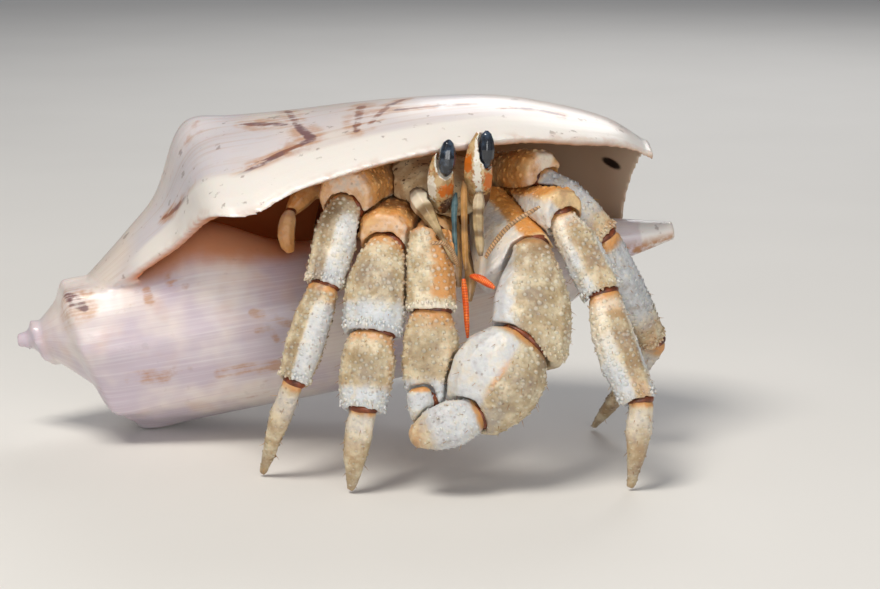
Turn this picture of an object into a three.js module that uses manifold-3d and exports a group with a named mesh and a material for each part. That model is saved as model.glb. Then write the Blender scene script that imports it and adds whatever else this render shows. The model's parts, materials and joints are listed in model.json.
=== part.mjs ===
// Hermit crab in a volute shell: a still, life-size model standing on its legs and shell.
// Millimetres, +Z up. +X runs along the shell from its pointed apex towards its open end,
// and the crab looks towards -Y. Every node is one closed solid; neighbours stand GAP apart.
import * as THREE from "three";
import { mergeVertices } from "three/addons/utils/BufferGeometryUtils.js";
import Module from "manifold-3d";

const wasm = await Module();
wasm.setup();

// ---------------------------------------------------------------- driving dimensions (mm)
const GAP = 0.3; // clear space between neighbouring solids
const SMOOTHING = 0.1; // facets flatter than this are merged
const TURN = 360; // degrees in one whorl

// Shell: a spiral about a straight axis that climbs gently from the apex to the canal tip.
const APEX = new THREE.Vector3(-49.2, 13, 10.65);
const CANAL_TIP = new THREE.Vector3(27.2, 13, 23.8);
const LENGTH_RATIO = 3.8; // growth of the whorl along the axis in one turn
const WIDTH_RATIO = 2.9; // growth of the whorl away from the axis in one turn
const LIP_ANGLE = 318; // where the outer lip stands: 0 front, 90 below, 180 back, 270 above
const WALL = 1.2; // shell wall
const OPEN_FROM = 188; // the open end of the shell runs from this angle round to the lip
const KNOBS_PER_WHORL = 8;
const KNOB_ANGLE = 273;
const KNOB_HEIGHT = 1.9;
const SHOULDER_AT = 29; // how far the shoulder lies from the apex at the lip
const MOUTH_END = 75.5; // how far the lip reaches from the apex
const MOUTH_SLOPE = 4.5; // how much further back the rim stands behind than at the lip
const SWELL = 4.6; // how far the belly swells towards the lip just inside the mouth
const SWELL_ROUND = [-75, 45]; // middle of the swelling in degrees, and its spread
const SWELL_ALONG = [23.5, 6.5]; // the same in millimetres along the axis
const DROOP = 7; // extra degrees that the lip has grown where it hangs lowest by the spire
const DROOP_ALONG = [30, 5.2];
// Outer lip seen from the side: distance along the axis, distance from the axis, share of a
// knob, how far the same place draws in towards the axis on the back of the shell, and how
// many degrees this place of the lip has grown ahead of LIP_ANGLE.
const LIP_PROFILE = [
  [8.2, 5.2, 0, 1, 0],
  [13.0, 8.7, 0, 1, 0],
  [18.1, 12.5, 0.1, 1, 0],
  [22.7, 16.2, 0.3, 1, 0],
  [26.6, 21.8, 1, 1, 2],
  [29.5, 24.0, 1, 1, 3],
  [33.5, 24.6, 0.4, 1, 4.5],
  [39.5, 24.5, 0.1, 1, 3],
  [46.5, 24.2, 0, 1, 0],
  [54.0, 23.3, 0, 1, -3],
  [61.0, 21.9, 0, 0.95, -5],
  [67.0, 19.4, 0, 0.85, -6],
  [72.0, 16.4, 0, 0.62, -10],
  [75.5, 12.6, 0, 0.4, -15],
];

// ---------------------------------------------------------------- colours
const paint = (color, roughness = 0.6) => ({ color, roughness, metalness: 0 });
const COLOURS = {
  shell: paint("#e9dccb", 0.35),
  shield: paint("#c9b79a", 0.5),
  soft: paint("#c98f6b", 0.55),
  stalk: paint("#e2c9a0", 0.45),
  cornea: paint("#1e242b", 0.12),
  tan: paint("#b98c5c", 0.5),
  orange: paint("#dd5f24", 0.45),
  brown: paint("#6b4636", 0.5),
  upperArm: paint("#e0a764", 0.55),
  arm: paint("#dccfc0", 0.6),
  claw: paint("#dfd5c8", 0.6),
  tip: paint("#c9b8a2", 0.55),
};

// ---------------------------------------------------------------- small helpers
const vec = (p) => (p.isVector3 ? p.clone() : new THREE.Vector3(...p));

function lerpTable(table, t) {
  const x = THREE.MathUtils.clamp(t, 0, 1) * (table.length - 1);
  const i = Math.min(Math.floor(x), table.length - 2);
  return table[i] + (table[i + 1] - table[i]) * (x - i);
}

// Closed skin over a row of rings (each ring a list of points, all the same length).
function skinOver(rings, capIndices) {
  const count = rings[0].length;
  const positions = rings.flat().flatMap((p) => [p.x, p.y, p.z]);
  const index = [];
  for (let i = 0; i < rings.length - 1; i++) {
    for (let j = 0; j < count; j++) {
      const a = i * count + j;
      const b = i * count + ((j + 1) % count);
      index.push(a, b, b + count, a, b + count, a + count);
    }
  }
  const last = (rings.length - 1) * count;
  for (const [a, b, c] of capIndices) {
    index.push(a, c, b);
    index.push(last + a, last + b, last + c);
  }
  const geometry = new THREE.BufferGeometry();
  geometry.setAttribute("position", new THREE.Float32BufferAttribute(positions, 3));
  geometry.setIndex(index);
  return geometry;
}

function fanCap(count) {
  const cap = [];
  for (let j = 1; j < count - 1; j++) cap.push([0, j, j + 1]);
  return cap;
}

function toSolid(geometry) {
  const clean = geometry.clone();
  clean.deleteAttribute("normal");
  clean.deleteAttribute("uv");
  const merged = mergeVertices(clean, 1e-5);
  const solid = new wasm.Manifold(
    new wasm.Mesh({
      numProp: 3,
      vertProperties: new Float32Array(merged.attributes.position.array),
      triVerts: new Uint32Array(merged.index.array),
    }),
  );
  return solid.volume() < 0 ? toSolid(flipped(merged)) : solid;
}

function flipped(geometry) {
  const turned = geometry.clone();
  const index = turned.index.array;
  for (let i = 0; i < index.length; i += 3) {
    [index[i + 1], index[i + 2]] = [index[i + 2], index[i + 1]];
  }
  return turned;
}

function toGeometry(solid) {
  const mesh = solid.getMesh();
  const geometry = new THREE.BufferGeometry();
  geometry.setAttribute("position", new THREE.Float32BufferAttribute(mesh.vertProperties, 3));
  geometry.setIndex(new THREE.Uint32BufferAttribute(mesh.triVerts, 1));
  const flat = geometry.toNonIndexed();
  flat.computeVertexNormals();
  return flat;
}

// ---------------------------------------------------------------- limbs and feelers
// A limb segment from one joint to the next. `face` is the side the segment turns outwards;
// `wide` and `deep` are half sizes across and along `face`, read evenly from root to end.
// `blunt` is the size of the end face as a share of the last section.
function segment(spec, grow = 0) {
  const { from, to, face, wide, deep, bow = 0, sway = 0, sides = 10, square = 2.3, blunt = 0.6 } = spec;
  const start = vec(from);
  const end = vec(to);
  const along = end.clone().sub(start).normalize();
  start.addScaledVector(along, -grow);
  end.addScaledVector(along, grow);
  const length = start.distanceTo(end);
  const across = new THREE.Vector3().crossVectors(vec(face), along).normalize();
  const out = new THREE.Vector3().crossVectors(along, across).normalize();
  const rim = (t) => 0.45 * Math.min(lerpTable(wide, t), lerpTable(deep, t));
  const inner = Math.max(wide.length, 4);
  const stations = [[0, 0.6]];
  for (let i = 0; i < inner; i++) {
    const t = (rim(0) + ((length - rim(0) - rim(1)) * i) / (inner - 1)) / length;
    stations.push([t, 1]);
  }
  stations.push([1, blunt]);
  const rings = stations.map(([t, share]) => {
    const swell = Math.sin(Math.PI * t);
    const centre = start.clone().lerp(end, t);
    centre.addScaledVector(out, bow * swell).addScaledVector(across, sway * swell);
    const a = (lerpTable(wide, t) + grow) * share;
    const b = (lerpTable(deep, t) + grow) * share;
    return oval(centre, across, out, a, b, sides, square);
  });
  return skinOver(rings, fanCap(sides));
}

function oval(centre, across, out, a, b, sides, square) {
  const ring = [];
  for (let j = 0; j < sides; j++) {
    const angle = (2 * Math.PI * (j + 0.5)) / sides;
    const c = Math.cos(angle);
    const s = Math.sin(angle);
    const x = Math.sign(c) * Math.abs(c) ** (2 / square) * a;
    const y = Math.sign(s) * Math.abs(s) ** (2 / square) * b;
    ring.push(centre.clone().addScaledVector(across, x).addScaledVector(out, y));
  }
  return ring;
}

// A feeler, stalk or soft body: round sections of the given radii along a smooth curve.
function strand({ through, radii, steps = 10, sides = 6, ends = 0.6 }, grow = 0) {
  const curve = new THREE.CatmullRomCurve3(through.map(vec), false, "centripetal");
  const frames = curve.computeFrenetFrames(steps, false);
  const rings = [];
  for (let i = 0; i <= steps; i++) {
    const t = i / steps;
    const centre = curve.getPointAt(t);
    const share = i === 0 || i === steps ? ends : 1;
    const reach = i === 0 ? -grow : i === steps ? grow : 0;
    centre.addScaledVector(frames.tangents[i], reach);
    const radius = (lerpTable(radii, t) + grow) * share;
    rings.push(oval(centre, frames.normals[i], frames.binormals[i], radius, radius, sides, 2));
  }
  return skinOver(rings, fanCap(sides));
}

// An egg-shaped body with its long axis from one end to the other.
function egg({ from, to, face, wide, deep, sides = 12, rings: count = 7 }, grow = 0) {
  const start = vec(from);
  const end = vec(to);
  const along = end.clone().sub(start).normalize();
  start.addScaledVector(along, -grow);
  end.addScaledVector(along, grow);
  const across = new THREE.Vector3().crossVectors(vec(face), along).normalize();
  const out = new THREE.Vector3().crossVectors(along, across).normalize();
  const rings = [];
  for (let i = 0; i < count; i++) {
    const turn = (Math.PI * (i + 0.35)) / (count - 0.3);
    const t = (1 - Math.cos(turn)) / 2;
    const a = (lerpTable(wide, t) + grow) * Math.sin(turn);
    const b = (lerpTable(deep, t) + grow) * Math.sin(turn);
    rings.push(oval(start.clone().lerp(end, t), across, out, a, b, sides, 2));
  }
  return skinOver(rings, fanCap(sides));
}

// ---------------------------------------------------------------- shell
const AXIS = CANAL_TIP.clone().sub(APEX).normalize();
const FRONT = new THREE.Vector3(0, -1, 0);
const BELOW = new THREE.Vector3().crossVectors(AXIS, FRONT).normalize();

function shellPoint(along, away, degrees) {
  const angle = THREE.MathUtils.degToRad(degrees);
  return APEX.clone()
    .addScaledVector(AXIS, along)
    .addScaledVector(FRONT, away * Math.cos(angle))
    .addScaledVector(BELOW, away * Math.sin(angle));
}

const growth = (degrees, ratio) => ratio ** ((degrees - LIP_ANGLE) / TURN);

function bell(x, middle, spread) {
  return Math.exp(-(((x - middle) / spread) ** 2));
}

function knob(degrees) {
  const phase = THREE.MathUtils.degToRad(KNOBS_PER_WHORL * (degrees - KNOB_ANGLE));
  return ((1 + Math.cos(phase)) / 2) ** 2;
}

// The whorl's outline at one angle. Body whorls reach forward to the shell's open end;
// the whorls of the spire keep the same proportions as they shrink towards the apex. A coarse
// outline keeps every other row of the profile, for surfaces inside the shell.
function whorlOutline(degrees, options) {
  const { inset = 0, outset = 0, mouth = MOUTH_END, open = 0, spire = false, coarse = false } = options;
  const size = growth(degrees, LENGTH_RATIO);
  const early = 1 - THREE.MathUtils.smoothstep(degrees, -110, 20);
  const spread = growth(degrees, WIDTH_RATIO) * (1 - 0.2 * early);
  const shoulder = size * SHOULDER_AT;
  const rim = mouth - MOUTH_SLOPE * (1 - THREE.MathUtils.smoothstep(degrees, 160, 285));
  const end = (spire ? size * MOUTH_END : rim) + outset;
  const behind = 1 - THREE.MathUtils.smoothstep(degrees, 128, 200);
  const late = THREE.MathUtils.smoothstep(degrees, LIP_ANGLE - 70, LIP_ANGLE);
  const swell = SWELL * bell(degrees, ...SWELL_ROUND);
  const droop = DROOP * THREE.MathUtils.smoothstep(degrees, LIP_ANGLE - 26, LIP_ANGLE);
  const rows = LIP_PROFILE.filter((_, i) => !coarse || i % 2 === 1);
  const points = rows.map(([u, r, share, drawnIn, lead]) => {
    const beyond = (u - SHOULDER_AT) / (MOUTH_END - SHOULDER_AT);
    const along = u <= SHOULDER_AT ? size * u : shoulder + (end - shoulder) * beyond;
    const bump = inset > 0 ? 0 : share * KNOB_HEIGHT * knob(degrees);
    const radius = r * THREE.MathUtils.lerp(1, drawnIn, behind) + bump;
    const away = spread * radius + swell * bell(along, ...SWELL_ALONG);
    return [along, outset + away, lead * late + droop * bell(u, ...DROOP_ALONG)];
  });
  const core = 0.05;
  const first = inset === 0 ? 0 : 1;
  const kept = points.slice(first).map(([u, r, lead], i) => [
    u + (i === 0 ? inset * 1.2 : inset * 0.35),
    Math.max(r - inset, core * (i + 2)),
    lead,
  ]);
  const [lastAlong, lastAway, lastLead] = kept[kept.length - 1];
  return [
    [kept[0][0], core, 0],
    ...kept,
    [lastAlong + 0.8 + open, open > 0 ? lastAway : lastAway * 0.6, lastLead],
    [lastAlong + 1.8 + open, core, lastLead],
  ];
}

// A stretch of whorl between two angles. A tucked end stands a hair lower than the stretch
// it runs into, so the two join without sharing a surface.
function sweepWhorl(startAngle, endAngle, stepAngle, options, tuck = [0, 0]) {
  const steps = Math.max(1, Math.round((endAngle - startAngle) / stepAngle));
  const rings = [];
  for (let i = 0; i <= steps; i++) {
    const degrees = startAngle + ((endAngle - startAngle) * i) / steps;
    const lower = (i === 0 ? tuck[0] : 0) + (i === steps ? tuck[1] : 0);
    const ring = whorlOutline(degrees, options(degrees)).map(([u, r, lead]) =>
      shellPoint(u, Math.max(r - lower, r * 0.5), degrees + lead),
    );
    rings.push(ring);
  }
  const flatOutline = rings[0].map((p) => {
    const offset = p.clone().sub(APEX);
    const u = offset.dot(AXIS);
    return new THREE.Vector2(u, offset.addScaledVector(AXIS, -u).length());
  });
  const turn = Math.sign(THREE.ShapeUtils.area(flatOutline));
  const facing = (corners) => Math.sign(THREE.ShapeUtils.area(corners.map((k) => flatOutline[k])));
  const cap = THREE.ShapeUtils.triangulateShape(flatOutline, []).map((corners) =>
    facing(corners) === turn ? corners : corners.reverse(),
  );
  return toSolid(skinOver(rings, cap));
}

function shellSolid(grow = 0) {
  const start = LIP_ANGLE - TURN;
  const whole = () => ({ outset: grow });
  const small = () => ({ outset: grow, spire: true });
  const body = sweepWhorl(start + 2, LIP_ANGLE + 3 * grow, 11.25, whole);
  const hollow = sweepWhorl(start + 60, LIP_ANGLE + 15, 18, (degrees) => ({
    inset: WALL + grow,
    mouth: MOUTH_END - (degrees > OPEN_FROM ? 0 : 3 * WALL),
    open: degrees > OPEN_FROM ? 8 : 0,
    coarse: true,
  }));
  const inner = sweepWhorl(start - 270, start + 24, 18, whole, [0, 0.05]);
  const spire = sweepWhorl(start - 412, start - 255, 22.5, small, [0.05, 0.05]);
  const apex = sweepWhorl(start - 720, start - 400, 32, small, [0, 0]);
  const columella = strand(
    {
      through: [-0.2, 20, 40, 60, 77.4].map((u) => shellPoint(u, 0, 0)),
      radii: [0.8, 2.4, 3.2, 3.8, 4.2, 3.7, 1.0],
      steps: 9,
      sides: 10,
    },
    grow,
  );
  return body.subtract(hollow).add(inner).add(spire).add(apex).add(toSolid(columella));
}

// ---------------------------------------------------------------- the crab
// Joint positions of each limb, from the body outwards.
const LIMBS = {
  leftCheliped: { hip: [5.2, 7, 28.6], knee: [10.1, -5, 25.4], wrist: [10, -11.5, 14.3] },
  rightCheliped: { hip: [0.6, 9, 24.5], knee: [-0.9, -3.2, 26.6], wrist: [-0.9, -9, 18.6] },
  rightLeg2: {
    hip: [-4, 9.5, 27],
    knee: [-5.9, -3, 26.2],
    wrist: [-7.4, -9.5, 16.2],
    ankle: [-8.3, -13, 8.8],
    toe: [-9.6, -13, 0],
  },
  rightLeg3: {
    hip: [-5.5, 11, 30],
    knee: [-10, -0.6, 30.2],
    wrist: [-12.7, -6, 20.7],
    ankle: [-16, -9, 10.8],
    toe: [-19.6, -6.5, 0],
  },
  leftLeg2: {
    hip: [7, 10, 27.3],
    knee: [12.9, -2, 28.6],
    wrist: [17.9, -7, 20.0],
    ankle: [21.5, -12, 9.4],
    toe: [20.6, -12, 0],
  },
  leftLeg3: {
    hip: [6, 12, 30.8],
    knee: [10.8, 3.8, 32],
    wrist: [18.7, 1, 24.8],
    ankle: [24.5, 4.5, 12.2],
    toe: [18, 13.2, 0],
  },
};
const SOCKET = 0.8; // how far a segment starts inside the one before it
const HOOD = 1.6; // how far a merus reaches past its knee, over the root of the carpus

const parts = [];
function addPart(name, colour, shape, spec) {
  parts.push({ name, colour, make: (grow) => toSolid(shape(spec, grow)) });
}

// The point a distance before or beyond `from` on the line towards `to`.
function shifted(from, to, distance) {
  const start = vec(from);
  return start.addScaledVector(vec(to).sub(start).normalize(), distance);
}

parts.push({ name: "shell", colour: "shell", make: shellSolid });

// Eyes on their stalks.
addPart("cornea_right", "cornea", egg, {
  from: [0.6, -4.75, 32.9],
  to: [0.95, -4.45, 37],
  face: [0.3, -1, 0],
  wide: [0.98, 0.98],
  deep: [1, 0.9],
  sides: 10,
});
addPart("cornea_left", "cornea", egg, {
  from: [5.0, -4.0, 33.7],
  to: [5.05, -3.95, 37.9],
  face: [0.8, -1, 0],
  wide: [0.92, 0.92],
  deep: [0.95, 0.9],
  sides: 10,
});
addPart("eyestalk_right", "stalk", strand, {
  through: [[0.3, -1.2, 28.6], [0.1, -2.6, 30.8], [0.1, -3.6, 33.4], [0.45, -3.9, 36.4]],
  radii: [0.9, 1.35, 1.6, 1.35, 0.8],
  steps: 6,
  sides: 8,
});
addPart("eyestalk_left", "stalk", strand, {
  through: [[4.3, -1.2, 28.8], [4.3, -2.4, 31.2], [4.1, -3.4, 34.2], [4.4, -3.7, 37.6]],
  radii: [0.9, 1.3, 1.7, 1.5, 0.85],
  steps: 6,
  sides: 8,
});

// Feelers: two antennules between the eyes, two antennae outside them.
addPart("antennule_peduncle_right", "tan", strand, {
  through: [[2.62, -3.6, 32.4], [2.6, -5, 28], [2.8, -6.4, 22.9]],
  radii: [0.42, 0.44, 0.42],
  steps: 6,
});
addPart("antennule_peduncle_left", "tan", strand, {
  through: [[1.7, -3.4, 31], [1.5, -4.2, 27.9], [1.75, -5.2, 23.6]],
  radii: [0.4, 0.42, 0.4],
  steps: 6,
});
addPart("antennule_flagellum_right", "orange", strand, {
  through: [[2.55, -6.7, 22.1], [2.8, -7.6, 19.2], [3, -8.3, 15.8]],
  radii: [0.38, 0.4, 0.26],
  steps: 6,
});
addPart("antennule_flagellum_left", "orange", strand, {
  through: [[3.3, -6.9, 22.4], [4.3, -7.8, 22.3], [5.9, -9, 21.5]],
  radii: [0.4, 0.5, 0.3],
  steps: 6,
});
addPart("antenna_peduncle_right", "tan", strand, {
  through: [[-2.8, -0.6, 30.6], [-1.5, -3.2, 28.9], [0.2, -5.8, 26.4], [1.7, -7.6, 23.6]],
  radii: [1.2, 1.3, 0.6, 0.5],
  steps: 7,
  sides: 7,
});
addPart("antenna_peduncle_left", "tan", strand, {
  through: [[4.3, -3.9, 31.2], [4.1, -5.4, 28.6], [4.4, -7.2, 24.6]],
  radii: [0.65, 0.75, 0.6],
  steps: 6,
  sides: 7,
});
addPart("antenna_flagellum_right", "brown", strand, {
  through: [[1.9, -8.5, 23.9], [1.3, -9.2, 25.6], [0.3, -9.7, 26.6], [-1, -10, 26.5]],
  radii: [0.32, 0.28, 0.26],
  steps: 8,
});
addPart("antenna_flagellum_left", "brown", strand, {
  through: [[4.9, -8, 24.6], [5.9, -8.6, 26.5], [7.7, -9.2, 28.6], [10.7, -8.8, 30.4]],
  radii: [0.34, 0.3, 0.27],
  steps: 9,
});

// Each limb is added from its tip towards the body, so that a segment's end closes like a
// collar round the root of the next one.

// Left cheliped, the large claw.
addPart("left_cheliped_dactyl", "claw", segment, {
  from: [4.4, -14.0, 9.0],
  to: [-3.2, -14.4, 6.2],
  face: [0.1, -1, 0.3],
  wide: [1.7, 2.7, 2.4, 1.0],
  deep: [1.4, 1.9, 1.7, 0.8],
  bow: 0.4,
});
addPart("left_cheliped_palm", "claw", segment, {
  from: [9.0, -11.4, 17],
  to: [2.9, -12.9, 7.2],
  face: [0.1, -1, 0.3],
  wide: [2.6, 4.9, 5.3, 4.5, 2.7],
  deep: [2.1, 3.3, 3.6, 3.0, 1.8],
  sides: 12,
});
addPart("left_cheliped_carpus", "claw", segment, {
  from: [10.1, -4.8, 26],
  to: [9.7, -11.6, 13.6],
  face: [0.1, -1, 0.35],
  wide: [1.7, 3.2, 4.3, 4.5, 3.9],
  deep: [1.7, 2.6, 3.0, 3.1, 2.8],
  sides: 12,
  blunt: 0.85,
});
addPart("left_cheliped_merus", "upperArm", segment, {
  from: LIMBS.leftCheliped.hip,
  to: [8.4, -5.6, 22.9],
  face: [-0.45, -0.5, 0.73],
  wide: [2.2, 3.2, 4.3, 5],
  deep: [2, 2.2, 2.3, 2.3],
  blunt: 0.9,
});

// Right cheliped, the smaller claw.
addPart("right_cheliped_dactyl", "claw", segment, {
  from: [-2.4, -12.6, 11.4],
  to: [-1.2, -13.4, 6],
  face: [0, -1, 0.3],
  wide: [1.4, 1.6, 0.9],
  deep: [1.1, 1.2, 0.7],
});
addPart("right_cheliped_palm", "claw", segment, {
  from: shifted(LIMBS.rightCheliped.wrist, [-1.2, -12.2, 8.8], -SOCKET),
  to: [-1.2, -12.2, 8.8],
  face: [0, -1, 0.3],
  wide: [2.0, 3.1, 3.2, 2.9, 1.9],
  deep: [1.4, 1.9, 1.9, 1.6, 1.1],
});
addPart("right_cheliped_carpus", "upperArm", segment, {
  from: [-1.0, -4.2, 27.4],
  to: LIMBS.rightCheliped.wrist,
  face: [0, -1, 0.5],
  wide: [2.3, 2.7, 2.8, 2.9],
  deep: [1.7, 2.1, 2.3, 2.2],
  sides: 10,
  blunt: 0.9,
});
addPart("right_cheliped_merus", "upperArm", segment, {
  from: LIMBS.rightCheliped.hip,
  to: LIMBS.rightCheliped.knee,
  face: [0, -0.2, 1],
  wide: [1.8, 2, 2],
  deep: [1.6, 1.9, 1.7],
});

// Walking legs: limb, outward face, half widths of the four visible segments and how far the
// propodus curves sideways.
const LEGS = {
  right_leg2: {
    limb: LIMBS.rightLeg2,
    face: [-0.15, -1, 0.4],
    merus: [2.2, 3.0, 3.3],
    carpus: [1.4, 2.8, 3.6, 3.6, 3.3],
    propodus: [2.3, 3.1, 3.0, 2.5],
    dactyl: [1.6, 1.7, 1.2, 0.5],
    sway: 0,
  },
  right_leg3: {
    limb: LIMBS.rightLeg3,
    face: [-0.3, -1, 0.3],
    merus: [2.6, 3.4, 3.7],
    carpus: [1.4, 2.4, 2.6, 2.4, 2.3],
    propodus: [1.7, 2.2, 2.2, 1.9],
    dactyl: [1.3, 1.4, 1.0, 0.5],
    sway: 0,
  },
  left_leg2: {
    limb: LIMBS.leftLeg2,
    face: [0.35, -1, 0.3],
    merus: [2.2, 2.7, 2.9],
    carpus: [1.4, 2.3, 2.5, 2.4],
    propodus: [1.8, 2.4, 2.5, 2.1],
    dactyl: [1.5, 1.6, 1.1, 0.5],
    sway: -0.7,
  },
  left_leg3: {
    limb: LIMBS.leftLeg3,
    face: [0.35, -0.7, 0.6],
    merus: [2.2, 2.7, 2.8],
    carpus: [1.3, 2.2, 2.2, 2.1],
    propodus: [1.6, 2.1, 2.1, 1.8],
    dactyl: [1.3, 1.4, 1.0, 0.5],
    sway: -0.5,
  },
};
const FLATNESS = 0.72; // a leg segment's depth as a share of its width
const HOOD_DEPTH = 0.98; // the same for the merus
for (const [name, { limb, face, merus, carpus, propodus, dactyl, sway }] of Object.entries(LEGS)) {
  const flat = (row, share = FLATNESS) => row.map((w) => w * share);
  addPart(`${name}_dactyl`, "tip", segment, {
    from: shifted(limb.ankle, limb.toe, -SOCKET),
    to: limb.toe,
    face,
    wide: dactyl,
    deep: flat(dactyl),
    bow: 0.4,
    sides: 7,
  });
  addPart(`${name}_propodus`, "arm", segment, {
    from: shifted(limb.wrist, limb.ankle, -SOCKET),
    to: limb.ankle,
    face,
    wide: propodus,
    deep: flat(propodus),
    bow: 0.3,
    sway,
    sides: 9,
    blunt: 0.9,
  });
  addPart(`${name}_carpus`, "arm", segment, {
    from: limb.knee,
    to: limb.wrist,
    face,
    wide: carpus,
    deep: flat(carpus),
    bow: 0.5,
    sides: 9,
    blunt: 0.9,
  });
  addPart(`${name}_merus`, "upperArm", segment, {
    from: limb.hip,
    to: shifted(limb.knee, limb.hip, -HOOD),
    face: [face[0] * 0.5, -0.3, 1],
    wide: merus,
    deep: flat(merus, HOOD_DEPTH),
    sides: 9,
    blunt: 0.8,
  });
}

// Fourth and fifth legs stay small, tucked against the shell.
addPart("right_leg4_lower", "upperArm", strand, {
  through: [[-17, 6.6, 27.2], [-17.4, 5.6, 24.4], [-16.9, 5.6, 22.6]],
  radii: [0.9, 1.1, 0.8],
  steps: 5,
  sides: 8,
});
addPart("right_leg4_upper", "upperArm", strand, {
  through: [[-10.5, 11, 28.6], [-14.5, 8.6, 29.4], [-17, 7, 27]],
  radii: [1, 1.3, 1.2],
  steps: 5,
  sides: 8,
});
addPart("left_leg4", "upperArm", strand, {
  through: [[10, 15, 28], [13.6, 12.5, 28.6], [15.2, 9.6, 26.6], [14.8, 8, 24.2]],
  radii: [0.9, 1.1, 1.1, 0.7],
  steps: 7,
  sides: 7,
});
addPart("right_leg5", "soft", strand, {
  through: [[-9.5, 15.5, 30], [-13, 14.5, 31], [-16, 14, 30]],
  radii: [0.7, 0.7, 0.5],
  steps: 4,
  sides: 6,
});
addPart("left_leg5", "soft", strand, {
  through: [[5.5, 17, 30.5], [8.5, 17.5, 31], [11, 17, 30]],
  radii: [0.7, 0.7, 0.5],
  steps: 4,
  sides: 6,
});

// Mouthparts hanging between the claws.
addPart("maxilliped_right", "tan", strand, {
  through: [[1.6, 3, 27], [1.5, -1.4, 24.6], [2, -3.2, 20.4]],
  radii: [0.8, 0.9, 0.6],
  steps: 5,
  sides: 7,
});
addPart("maxilliped_left", "tan", strand, {
  through: [[3.6, 2.4, 26], [3.5, -1.6, 22.6], [3.2, -3.2, 18.8]],
  radii: [0.8, 0.9, 0.6],
  steps: 5,
  sides: 7,
});

// Body: the shield behind the eyes, then the soft abdomen coiling back into the shell.
addPart("carapace", "shield", egg, {
  from: [2, -2.4, 29.4],
  to: [-3, 14, 31.5],
  face: [0, 0.2, 1],
  wide: [5, 6.5, 5.5],
  deep: [3, 3.6, 3.2],
  sides: 10,
  rings: 7,
});
const ABDOMEN_TURNS = [272, 252, 232, 212, 192, 172, 152, 132];
addPart("abdomen", "soft", strand, {
  through: ABDOMEN_TURNS.map((degrees) => {
    const share = growth(degrees, WIDTH_RATIO);
    return shellPoint(12 + 36 * share, 13 * share, degrees);
  }),
  radii: [2.2, 3.6, 3.3, 3.0, 2.6, 2.2, 1.7, 1.1],
  steps: 12,
  sides: 8,
});

// ---------------------------------------------------------------- keep neighbours apart, cut at the floor
const floorSlab = toSolid(new THREE.BoxGeometry(400, 400, 50).translate(0, 0, -25));

function reaches(a, b) {
  const boxA = a.boundingBox();
  const boxB = b.boundingBox();
  return [0, 1, 2].every((k) => boxA.min[k] < boxB.max[k] && boxB.min[k] < boxA.max[k]);
}

function largestPiece(solid) {
  const pieces = solid.decompose();
  return pieces.reduce((best, piece) => (piece.volume() > best.volume() ? piece : best));
}

const group = new THREE.Group();
group.name = "hermit_crab";
const placed = [];
for (const { name, colour, make } of parts) {
  let solid = make(0);
  for (const earlier of placed) {
    if (reaches(solid, earlier.kept)) solid = solid.subtract(earlier.kept);
  }
  solid = largestPiece(solid.subtract(floorSlab).simplify(SMOOTHING));
  placed.push({ name, kept: make(GAP).simplify(SMOOTHING) });
  const material = new THREE.MeshStandardMaterial({ ...COLOURS[colour], name });
  const mesh = new THREE.Mesh(toGeometry(solid), material);
  mesh.name = name;
  group.add(mesh);
}

// The origin is the middle of the footprint, on the floor.
const bounds = new THREE.Box3().setFromObject(group);
const middle = bounds.getCenter(new THREE.Vector3());
for (const mesh of group.children) mesh.geometry.translate(-middle.x, -middle.y, -bounds.min.z);

export default group;
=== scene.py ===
"""Hermit crab in a volute shell: the looks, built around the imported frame.

Lengths are millimetres while a surface is being shaped and metres once it is a Blender mesh.
The crab looks towards -Y, its right side is towards -X, and the floor is at Z = 0.
"""
import json
import math
from itertools import product

import bmesh
import bpy
import numpy as np
from mathutils import Matrix, Vector, kdtree

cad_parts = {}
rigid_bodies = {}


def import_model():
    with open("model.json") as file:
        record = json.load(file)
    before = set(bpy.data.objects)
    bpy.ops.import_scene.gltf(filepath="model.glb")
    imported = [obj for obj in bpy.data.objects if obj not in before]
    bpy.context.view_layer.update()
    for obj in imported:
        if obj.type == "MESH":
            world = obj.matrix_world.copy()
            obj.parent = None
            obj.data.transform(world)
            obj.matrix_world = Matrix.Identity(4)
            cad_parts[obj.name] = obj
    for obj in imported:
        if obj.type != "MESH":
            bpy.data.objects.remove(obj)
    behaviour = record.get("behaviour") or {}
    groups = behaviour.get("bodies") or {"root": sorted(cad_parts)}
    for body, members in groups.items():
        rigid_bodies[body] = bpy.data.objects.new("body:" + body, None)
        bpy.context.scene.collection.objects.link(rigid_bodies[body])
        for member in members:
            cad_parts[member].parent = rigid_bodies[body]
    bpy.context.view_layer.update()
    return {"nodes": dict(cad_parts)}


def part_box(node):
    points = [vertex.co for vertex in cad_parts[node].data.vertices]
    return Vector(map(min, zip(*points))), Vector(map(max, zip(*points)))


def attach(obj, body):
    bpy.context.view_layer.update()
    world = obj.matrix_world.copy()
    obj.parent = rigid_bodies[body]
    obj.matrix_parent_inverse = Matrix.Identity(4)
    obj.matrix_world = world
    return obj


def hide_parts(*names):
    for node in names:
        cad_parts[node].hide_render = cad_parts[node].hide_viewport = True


for startup_object in list(bpy.data.objects):
    bpy.data.objects.remove(startup_object)
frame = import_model()

NODES = frame["nodes"]
MM = 0.001
rng = np.random.default_rng(11)

# ------ sizes (mm and degrees)
SHELL_VOXEL = 0.24
TURN = 360
SHELL_CORNER = np.array(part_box("shell")[0]) / MM
APEX = SHELL_CORNER + [0.278, 21.949, 10.65]
CANAL_TIP = SHELL_CORNER + [76.678, 21.949, 23.8]
LENGTH_RATIO = 3.8
WIDTH_RATIO = 2.9
LIP_ANGLE = 318
START = LIP_ANGLE - TURN
WALL = 1.2
CORE = 0.05
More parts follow.
